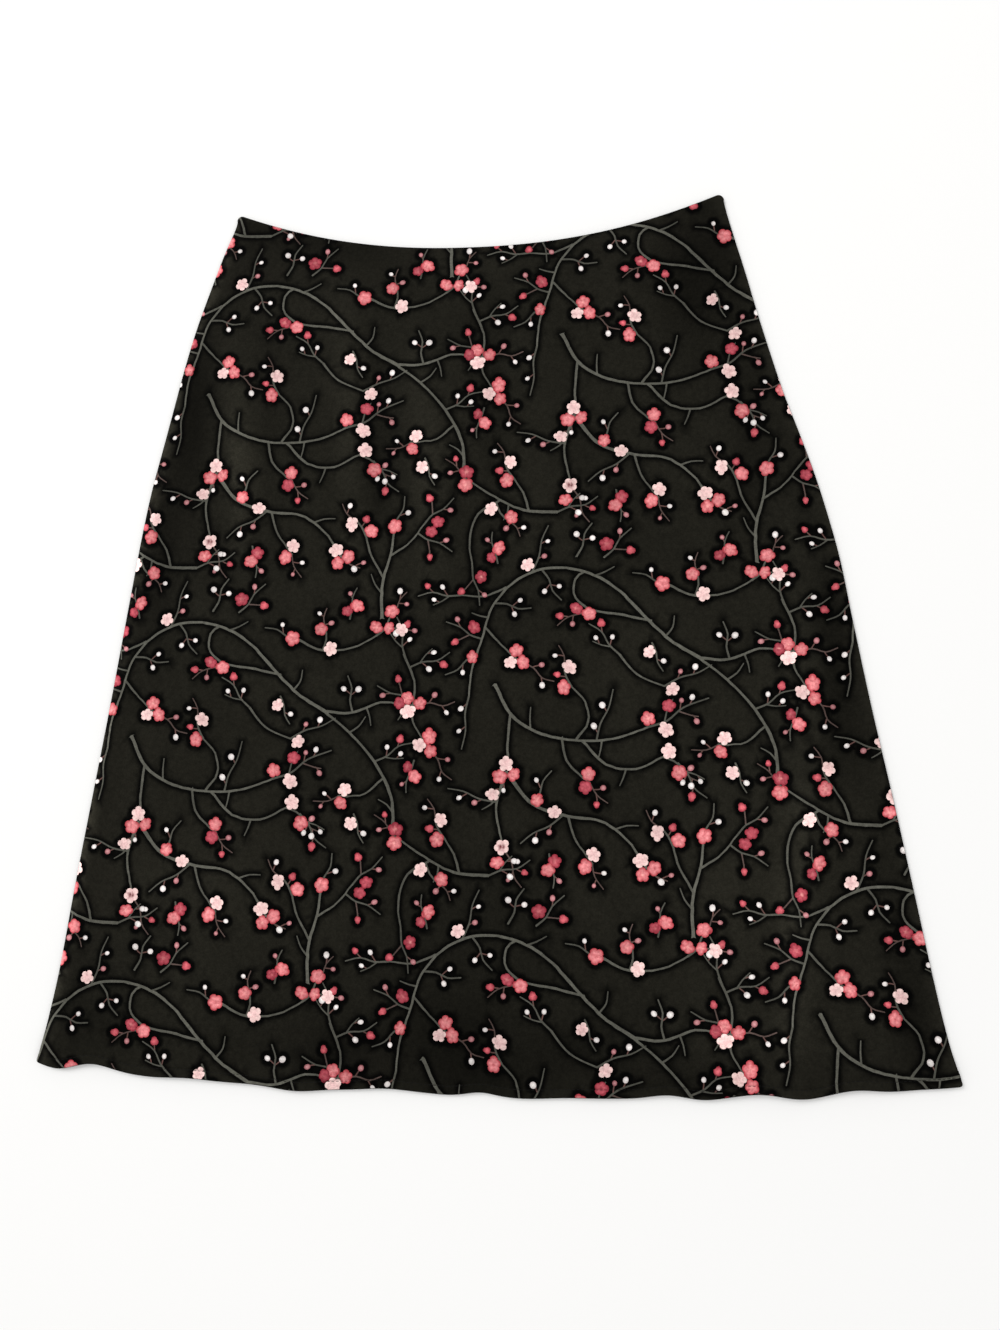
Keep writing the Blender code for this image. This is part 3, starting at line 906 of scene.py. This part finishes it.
def shell(name, points, triangles, corners, outer_z, inner_z, rim, material, inside, up=True):
    """A closed thin sheet: a printed outer face, a rounded rim, a plain inner face.

    outer_z and inner_z give heights at plan points; rim is how far the edge
    bulges out in plan.
    """
    loop, count = loop_of(triangles)
    if len(loop) != count:
        raise ValueError(name + " has more than one edge")
    edge = points[loop]
    fill, place, inner_tris = coarse_fill(edge, 11.0, inside)
    # the loop runs with the cloth on its left
    d = np.roll(edge, -1, 0) - np.roll(edge, 1, 0)
    d /= np.maximum(np.hypot(*d.T), 1e-9)[:, None]
    out = np.stack([d[:, 1], -d[:, 0]], 1)
    z_out, z_in = outer_z(edge), inner_z(edge)
    mid = edge + out * rim
    z_mid = (z_out + z_in) / 2
    upper = edge + out * rim * 0.72
    z_upper = z_mid + (z_out - z_mid) * 0.72
    lower = edge + out * rim * 0.72
    z_lower = z_mid + (z_in - z_mid) * 0.72
    n0, n1 = len(points), len(edge)
    verts = [np.column_stack([points, outer_z(points)]),
             np.column_stack([upper, z_upper]), np.column_stack([mid, z_mid]), np.column_stack([lower, z_lower])]
    base_fill = n0 + 3 * n1
    verts.append(np.column_stack([fill, inner_z(fill)]))
    verts = np.concatenate(verts)
    faces, uv, colours = [triangles], [plan_to_uv(points[triangles], 0.024, 0.998)], [corners]
    rings = [loop] + [list(range(n0 + r * n1, n0 + (r + 1) * n1)) for r in range(3)] + [[base_fill + k for k in place]]
    rim_faces, rim_uv = [], []
    for r in range(4):
        v_a, v_b = 0.0135 + 0.0020 * r, 0.0135 + 0.0020 * (r + 1)
        for k in range(n1):
            m = (k + 1) % n1
            a, b, c, e = rings[r][k], rings[r][m], rings[r + 1][m], rings[r + 1][k]
            ua, ub = (k + 0.0) / n1, (k + 1.0) / n1
            if c != e:
                rim_faces.append((a, e, c))
                rim_uv.append(((ua, v_a), (ua, v_b), (ub, v_b)))
            rim_faces.append((a, c, b))
            rim_uv.append(((ua, v_a), (ub, v_b), (ub, v_a)))
    faces.append(np.array(rim_faces))
    uv.append(np.array(rim_uv))
    colours.append(np.broadcast_to(GROUND * 0.8, (len(rim_faces), 3, 3)))
    turned = inner_tris[:, ::-1] + base_fill
    faces.append(turned)
    uv.append(plan_to_uv(verts[turned][..., :2], 0.001, 0.012))
    colours.append(np.broadcast_to(GROUND * 1.25, (len(turned), 3, 3)))
    faces, uv, colours = np.concatenate(faces), np.concatenate(uv), np.concatenate(colours)
    if not up:
        faces, uv, colours = faces[:, ::-1], uv[:, ::-1], colours[:, ::-1]
    return make_object(name, verts, faces, uv, colours, material)


def make_object(name, verts, faces, uv, colours, material):
    coords = verts.copy()
    coords[:, 0] -= MIDDLE[0]
    coords[:, 1] -= MIDDLE[1]
    coords /= 1000.0
    mesh = bpy.data.meshes.new(name)
    mesh.vertices.add(len(coords))
    mesh.vertices.foreach_set("co", coords.astype(np.float32).ravel())
    mesh.loops.add(len(faces) * 3)
    mesh.loops.foreach_set("vertex_index", faces.astype(np.int32).ravel())
    mesh.polygons.add(len(faces))
    mesh.polygons.foreach_set("loop_start", np.arange(0, len(faces) * 3, 3, dtype=np.int32))
    mesh.polygons.foreach_set("loop_total", np.full(len(faces), 3, dtype=np.int32))
    mesh.update(calc_edges=True)
    if uv is not None:
        layer = mesh.uv_layers.new(name="OFBake")
        layer.uv.foreach_set("vector", uv.astype(np.float32).ravel())
    if colours is not None:
        attribute = mesh.color_attributes.new("print", "FLOAT_COLOR", "CORNER")
        rgba = np.concatenate([colours.reshape(-1, 3), np.ones((len(faces) * 3, 1))], 1)
        attribute.data.foreach_set("color", rgba.astype(np.float32).ravel())
    mesh.validate()
    mesh.shade_smooth()
    mesh.materials.append(material)
    piece = bpy.data.objects.new(name, mesh)
    bpy.context.scene.collection.objects.link(piece)
    return piece


# ---------------------------------------------------------------- materials

def crepe(name, print_colours=True, tone=1.0):
    """Matt crepe: the print, slight unevenness of dye, and a fine pebbled weave."""
    material = bpy.data.materials.new(name)
    material.use_nodes = True
    tree = material.node_tree
    nodes, link = tree.nodes, tree.links.new
    shader = nodes["Principled BSDF"]
    shader.inputs["Roughness"].default_value = 0.7
    shader.inputs["Specular IOR Level"].default_value = 0.02
    shader.inputs["Sheen Weight"].default_value = 0.008
    shader.inputs["Sheen Roughness"].default_value = 0.4
    shader.inputs["Sheen Tint"].default_value = (0.9, 0.93, 0.85, 1.0)
    place = nodes.new("ShaderNodeTexCoord")

    patches = nodes.new("ShaderNodeTexNoise")
    patches.inputs["Scale"].default_value = 14.0
    patches.inputs["Detail"].default_value = 3.0
    link(place.outputs["Object"], patches.inputs["Vector"])
    grain = nodes.new("ShaderNodeTexNoise")
    grain.inputs["Scale"].default_value = 900.0
    grain.inputs["Detail"].default_value = 2.0
    link(place.outputs["Object"], grain.inputs["Vector"])
    shade = nodes.new("ShaderNodeMapRange")
    shade.inputs["From Min"].default_value = 0.3
    shade.inputs["From Max"].default_value = 0.7
    shade.inputs["To Min"].default_value = 0.88 * tone
    shade.inputs["To Max"].default_value = 1.12 * tone
    mottle = nodes.new("ShaderNodeTexNoise")
    mottle.inputs["Scale"].default_value = 330.0
    mottle.inputs["Detail"].default_value = 1.0
    link(place.outputs["Object"], mottle.inputs["Vector"])
    link(patches.outputs["Fac"], shade.inputs["Value"])
    fine = nodes.new("ShaderNodeMapRange")
    fine.inputs["From Min"].default_value = 0.25
    fine.inputs["From Max"].default_value = 0.75
    fine.inputs["To Min"].default_value = 0.80
    fine.inputs["To Max"].default_value = 1.20
    link(grain.outputs["Fac"], fine.inputs["Value"])
    uneven = nodes.new("ShaderNodeMapRange")
    uneven.inputs["From Min"].default_value = 0.3
    uneven.inputs["From Max"].default_value = 0.7
    uneven.inputs["To Min"].default_value = 0.87
    uneven.inputs["To Max"].default_value = 1.13
    link(mottle.outputs["Fac"], uneven.inputs["Value"])
    first = nodes.new("ShaderNodeMath")
    first.operation = "MULTIPLY"
    link(shade.outputs["Result"], first.inputs[0])
    link(uneven.outputs["Result"], first.inputs[1])
    both = nodes.new("ShaderNodeMath")
    both.operation = "MULTIPLY"
    link(first.outputs["Value"], both.inputs[0])
    link(fine.outputs["Result"], both.inputs[1])
    scale = nodes.new("ShaderNodeVectorMath")
    scale.operation = "SCALE"
    if print_colours:
        dye = nodes.new("ShaderNodeAttribute")
        dye.attribute_name = "print"
        link(dye.outputs["Color"], scale.inputs[0])
    else:
        scale.inputs[0].default_value = tuple(float(v) for v in GROUND)
    link(both.outputs["Value"], scale.inputs["Scale"])
    link(scale.outputs["Vector"], shader.inputs["Base Color"])

    # warp and weft, crimped into a pebbled crepe
    height = None
    for axis in ("X", "Y"):
        wave = nodes.new("ShaderNodeTexWave")
        wave.bands_direction = axis
        wave.inputs["Scale"].default_value = 520.0
        wave.inputs["Distortion"].default_value = 5.0
        wave.inputs["Detail"].default_value = 1.0
        wave.inputs["Detail Scale"].default_value = 2.5
        link(place.outputs["Object"], wave.inputs["Vector"])
        if height is None:
            height = wave.outputs["Fac"]
        else:
            join = nodes.new("ShaderNodeMath")
            join.operation = "ADD"
            link(height, join.inputs[0])
            link(wave.outputs["Fac"], join.inputs[1])
            height = join.outputs["Value"]
    pebble = nodes.new("ShaderNodeMath")
    pebble.operation = "MULTIPLY_ADD"
    pebble.inputs[1].default_value = 1.6
    link(grain.outputs["Fac"], pebble.inputs[0])
    link(height, pebble.inputs[2])
    bump = nodes.new("ShaderNodeBump")
    bump.inputs["Strength"].default_value = 0.35
    bump.inputs["Distance"].default_value = 0.00012
    link(pebble.outputs["Value"], bump.inputs["Height"])
    link(bump.outputs["Normal"], shader.inputs["Normal"])
    return material


def thread(name):
    """Black sewing thread, twisted."""
    material = bpy.data.materials.new(name)
    material.use_nodes = True
    tree = material.node_tree
    nodes, link = tree.nodes, tree.links.new
    shader = nodes["Principled BSDF"]
    shader.inputs["Roughness"].default_value = 0.7
    shader.inputs["Specular IOR Level"].default_value = 0.05
    place = nodes.new("ShaderNodeTexCoord")
    twist = nodes.new("ShaderNodeTexWave")
    twist.bands_direction = "DIAGONAL"
    twist.inputs["Scale"].default_value = 900.0
    link(place.outputs["Object"], twist.inputs["Vector"])
    # painted shade: the thread's colour is darker in the twist's grooves
    groove_shade = nodes.new("ShaderNodeMapRange")
    groove_shade.inputs["To Min"].default_value = 0.006
    groove_shade.inputs["To Max"].default_value = 0.013
    link(twist.outputs["Fac"], groove_shade.inputs["Value"])
    link(groove_shade.outputs["Result"], shader.inputs["Base Color"])
    bump = nodes.new("ShaderNodeBump")
    bump.inputs["Strength"].default_value = 0.5
    bump.inputs["Distance"].default_value = 0.0001
    link(twist.outputs["Fac"], bump.inputs["Height"])
    link(bump.outputs["Normal"], shader.inputs["Normal"])
    return material


# ---------------------------------------------------------------- the skirt

FOLD_ROWS = (0.35, 0.9, 1.8, 3.0, 4.2, 5.2)     # rows across the rolled hem, from its fold

def corner_rounds(steps, waves):
    """The four corners' roundings: corner, arc's centre, arc's ends and radius."""
    rounds = []
    for s0, t0, radius in ((-1, 0, 3.4), (1, 0, 3.8), (-1, 1, 1.8), (1, 1, 1.8)):
        corner = np.array(plan(float(s0), float(t0), steps, waves))
        along = np.array(plan(s0 * 0.965, float(t0), steps, waves)) - corner
        down = np.array(plan(float(s0), abs(t0 - 0.018), steps, waves)) - corner
        along /= np.hypot(*along)
        down /= np.hypot(*down)
        half = math.acos(float(along @ down)) / 2
        reach = radius / math.tan(half)
        middle = (along + down) / np.hypot(*(along + down))
        rounds.append((corner, corner + middle * radius / math.sin(half), corner + along * reach,
                       corner + down * reach, radius))
    return rounds


def outline_of(steps, waves):
    """The cloth's edge in plan, anticlockwise from the left waist corner."""
    t = np.linspace(0, 1, 211)
    s = np.linspace(-1, 1, 249)
    left = np.stack(plan(np.full(211, -1.0), t, steps, waves), 1)
    hem = np.stack(plan(s, np.full(249, 1.0), steps, waves), 1)
    right = np.stack(plan(np.full(211, 1.0), t[::-1], steps, waves), 1)
    s = np.linspace(1, -1, 145)
    waist = np.stack(plan(s, np.zeros(145), steps, waves), 1)
    edge = np.concatenate([left[:-1], hem[:-1], right[:-1], waist[:-1]])
    for corner, centre, end_a, end_b, radius in corner_rounds(steps, waves):
        reach = np.hypot(*(end_a - corner))
        far = np.hypot(*(edge - corner).T) > reach + 0.3
        n = len(edge)
        start = next(k for k in range(n) if far[k] and not far[(k + 1) % n])
        ends = [end_a, end_b] if np.hypot(*(edge[start] - end_a)) < np.hypot(*(edge[start] - end_b)) else [end_b, end_a]
        a0, a1 = (math.atan2(*(e - centre)[::-1]) for e in ends)
        turn = (a1 - a0 + math.pi) % (2 * math.pi) - math.pi
        arc = [centre + radius * np.array([math.cos(a0 + turn * k / 7), math.sin(a0 + turn * k / 7)]) for k in range(8)]
        rest = [edge[(start + 1 + k) % n] for k in range(n) if far[(start + 1 + k) % n]]
        edge = np.array(rest + arc)
    return edge


def cloth_side(prefix, steps, waves, outer, inner, hem_outer, hem_inner, up, shade_paint):
    rounds = corner_rounds(steps, waves)

    def inside(xy, margin=0.0):
        xy = np.asarray(xy)
        s, t = unplan(xy[:, 0], xy[:, 1], steps, waves)
        left, right = side_edges(t * SIDE_DEPTH)
        across = (left + right) / 2
        good = ((1 - np.abs(s)) * across > margin) & (t * SIDE_DEPTH > margin) & ((1 - t) * SIDE_DEPTH > margin)
        for corner, centre, end_a, end_b, radius in rounds:
            # beyond the arc, on the corner's side of the line between its ends
            line, rel = end_b - end_a, xy - end_a
            side = line[0] * rel[:, 1] - line[1] * rel[:, 0]
            corner_side = line[0] * (corner - end_a)[1] - line[1] * (corner - end_a)[0]
            near = np.hypot(*(xy - corner).T) < 3 * radius
            good &= ~(near & (side * corner_side > 0) & (np.hypot(*(xy - centre).T) > radius * 0.995 - margin))
        return good

    outline = outline_of(steps, waves)
    s = np.linspace(-1, 1, 249)
    split = [np.stack(plan(s, np.full(249, 1 - ROLL_SPAN), steps, waves), 1)]
    for row in FOLD_ROWS:
        split.append(np.stack(plan(s[1:-1], np.full(247, 1 - ROLL_SPAN * row / ROLL_DEPTH), steps, waves), 1))

    points, triangles, corners, owner = printed_sheet(outline, split, (-318, -296, 324, 344), inside)
    centre = points[triangles].mean(1)
    s, t = unplan(centre[:, 0], centre[:, 1], steps, waves)
    rolled = t > 1 - ROLL_SPAN
    # painted light and shade, multiplied into the corner colours below
    tone = shade_paint(points, *unplan(points[:, 0], points[:, 1], steps, waves))[triangles]
    # the painted light and shade reach the print's colours less than the black ground
    tone = np.where(owner[:, None] >= 0, 1 + np.where(tone > 1, 0.28, 0.42) * (tone - 1), tone)
    corners = corners * tone[..., None]
    made = []
    for part, mask in (("panel", ~rolled), ("hem", rolled)):
        used, inverse = np.unique(triangles[mask].ravel(), return_inverse=True)
        made.append((points[used], inverse.reshape(-1, 3), corners[mask]))

    def st(xy):
        return unplan(xy[:, 0], xy[:, 1], steps, waves)

    material = crepe(prefix + "_crepe")
    hem_material = crepe(prefix + "_hem_crepe")

    def panel_inside(xy, margin=0.0):
        s, t = st(xy)
        return inside(xy, margin) & ((1 - ROLL_SPAN - t) * SIDE_DEPTH > margin)

    def hem_inside(xy, margin=0.0):
        s, t = st(xy)
        return inside(xy, min(margin, 1.2)) & ((t - 1 + ROLL_SPAN) * SIDE_DEPTH > min(margin, 1.2))

    panel = shell(prefix + "_cloth", *made[0], lambda xy: outer(xy, *st(xy)), lambda xy: inner(xy, *st(xy)),
                  0.25, material, panel_inside, up)
    hem = shell(prefix + "_rolled_hem", *made[1], lambda xy: hem_outer(xy, *st(xy)), lambda xy: hem_inner(xy, *st(xy)),
                0.3, hem_material, hem_inside, up)
    return panel, hem


def front_shade_paint(xy, s, t):
    """Painted light and shade on the front's colours: lighter on its ridges, darker in its troughs and folds, towards
    its sides and in the painted hollows, with a painted highlight along the side folds.
    """
    x, depth = xy[:, 0], t * SIDE_DEPTH
    left, right = side_edges(depth)
    from_side = (right + left) / 2 * (1 - np.clip(np.abs(s), 0, 1))
    # ridges painted lighter and troughs painted darker, then painted shade towards the sides
    tone = 1 + 0.20 * crease_field(RELIEF, x, depth)
    tone *= 1 - 0.14 * (1 - smooth(4, 34, from_side))
    for x0, depth0, across, down, strength in PAINTED_SHADE_AND_LIGHT:
        tone *= 1 - strength * np.exp(-((x - x0) / across) ** 2 - ((depth - depth0) / down) ** 2)
    # painted highlight along the side folds
    tone *= 1 + np.where(s < 0, *PAINTED_RIM_HIGHLIGHT) * np.exp(-(from_side / 5) ** 2)
    return np.clip(tone, 0.4, 3.4)


# Painted light and shade on the back's colours: lighter on its creases, darker towards its sides.
def back_shade_paint(xy, s, t):
    x, depth = xy[:, 0], t * SIDE_DEPTH
    left, right = side_edges(depth)
    from_side = (right + left) / 2 * (1 - np.clip(np.abs(s), 0, 1))
    return (1 + 0.12 * crease_field(BACK_RELIEF, x, depth)) * (1 - 0.15 * (1 - smooth(4, 34, from_side)))


def roll_profile(t):
    """Height across the rolled hem, 0 at its edges and 1 on its back."""
    d = np.clip((1 - t) / ROLL_SPAN, 0, 1)
    return np.sqrt(np.clip(1 - (1 - np.minimum(d / 0.32, 1)) ** 2, 0, 1)) * (1 - 0.55 * smooth(0.78, 1.0, d))


def front_outer(xy, s, t):
    return front_height(xy[:, 0], s, t) + WALL


def seam_drop(s, t, inner, under):
    """The front's inner face, brought down to the back at the side seams."""
    left, right = side_edges(t * SIDE_DEPTH)
    from_side = (right + left) / 2 * (1 - np.clip(np.abs(s), 0, 1))
    return inner + (under + 0.12 - inner) * (1 - smooth(0.0, 2.0, from_side))


def front_inner(xy, s, t):
    return seam_drop(s, t, front_height(xy[:, 0], s, t) + 0.25, back_inner(xy, s, t))


def front_hem_outer(xy, s, t):
    base = front_height(xy[:, 0], s, t)
    return base + 0.35 + 1.15 * roll_profile(t)


def front_hem_inner(xy, s, t):
    inner = front_height(xy[:, 0], s, t) + 0.25 - 0.55 * roll_profile(t)
    return seam_drop(s, t, inner, back_hem_inner(xy, s, t))


def back_outer(xy, s, t):
    return back_height(xy[:, 0], s, t)


def back_inner(xy, s, t):
    return back_height(xy[:, 0], s, t) + 0.75


def back_hem_outer(xy, s, t):
    return back_height(xy[:, 0], s, t) + 0.7 * (1 - roll_profile(t))


def back_hem_inner(xy, s, t):
    return back_height(xy[:, 0], s, t) + 0.8 + 0.9 * roll_profile(t)


def stitches(name, steps, waves, level, material, side):
    """A row of small thread stitches along the top of a rolled hem."""
    length, pitch, thick = 2.3, 3.0, 0.17
    t = 1 - ROLL_SPAN * 5.35 / ROLL_DEPTH
    s = np.linspace(-0.995, 0.995, 1400)
    x, y = plan(s, np.full(1400, t), steps, waves)
    run = np.concatenate([[0], np.cumsum(np.hypot(np.diff(x), np.diff(y)))])
    starts = np.arange(1.0, run[-1] - pitch, pitch)
    verts, faces = [], []
    for start in starts:
        first = len(verts)
        for k, u in enumerate((0.0, 0.18, 0.5, 0.82, 1.0)):
            at = start + u * length
            px, py = np.interp(at, run, x), np.interp(at, run, y)
            qx, qy = np.interp(at + 0.3, run, x), np.interp(at + 0.3, run, y)
            d = np.array([qx - px, qy - py]) / max(math.hypot(qx - px, qy - py), 1e-9)
            n = np.array([-d[1], d[0]])
            xy = np.array([[px, py]])
            z = level(xy, *unplan(xy[:, 0], xy[:, 1], steps, waves))[0]
            rise = (0.02, 0.13, 0.18, 0.13, 0.02)[k]
            r = thick * (0.45, 0.9, 1.0, 0.9, 0.45)[k]
            for q in range(6):
                a = q / 6 * 2 * math.pi
                verts.append((px + n[0] * r * math.cos(a), py + n[1] * r * math.cos(a),
                              max(z + side * (rise - 0.06 + r * math.sin(a)), 0.02)))
        for k in range(4):
            for q in range(6):
                a, b = first + k * 6 + q, first + k * 6 + (q + 1) % 6
                faces += [(a, a + 6, b), (b, a + 6, b + 6)]
        faces += [(first, first + q + 1, first + q) for q in range(1, 5)]
        last = first + 24
        faces += [(last, last + q, last + q + 1) for q in range(1, 5)]
    faces = np.array(faces)
    if side < 0:
        faces = faces[:, ::-1]
    return make_object(name, np.array(verts), faces[:, ::-1], None, None, material)


def main():
    add_camera()
    add_light()
    add_floor()
    bpy.context.scene.view_settings.view_transform = "Standard"

    front, front_hem = cloth_side("front", (0.0, 0.0), 1.0, front_outer, front_inner,
                                  front_hem_outer, front_hem_inner, True, front_shade_paint)
    back, back_hem = cloth_side("back", (WAIST_STEP, HEM_STEP), 0.6, back_outer, back_inner,
                                back_hem_outer, back_hem_inner, False, back_shade_paint)
    black = thread("black_thread")
    front_thread = stitches("front_hem_stitches", (0.0, 0.0), 1.0, front_hem_outer, black, 1)
    back_thread = stitches("back_hem_stitches", (WAIST_STEP, HEM_STEP), 0.6, back_hem_outer, black, -1)

    for piece, slot, node in ((front, "front_cloth", "front_panel"), (back, "back_cloth", "back_panel"),
                              (front_hem, "front_hem_cloth", "front_hem"), (back_hem, "back_hem_cloth", "back_hem")):
        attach(piece, "root")
        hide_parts(node)
    for piece, slot in ((front_thread, "front_hem_cloth"), (back_thread, "back_hem_cloth")):
        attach(piece, "root")


main()
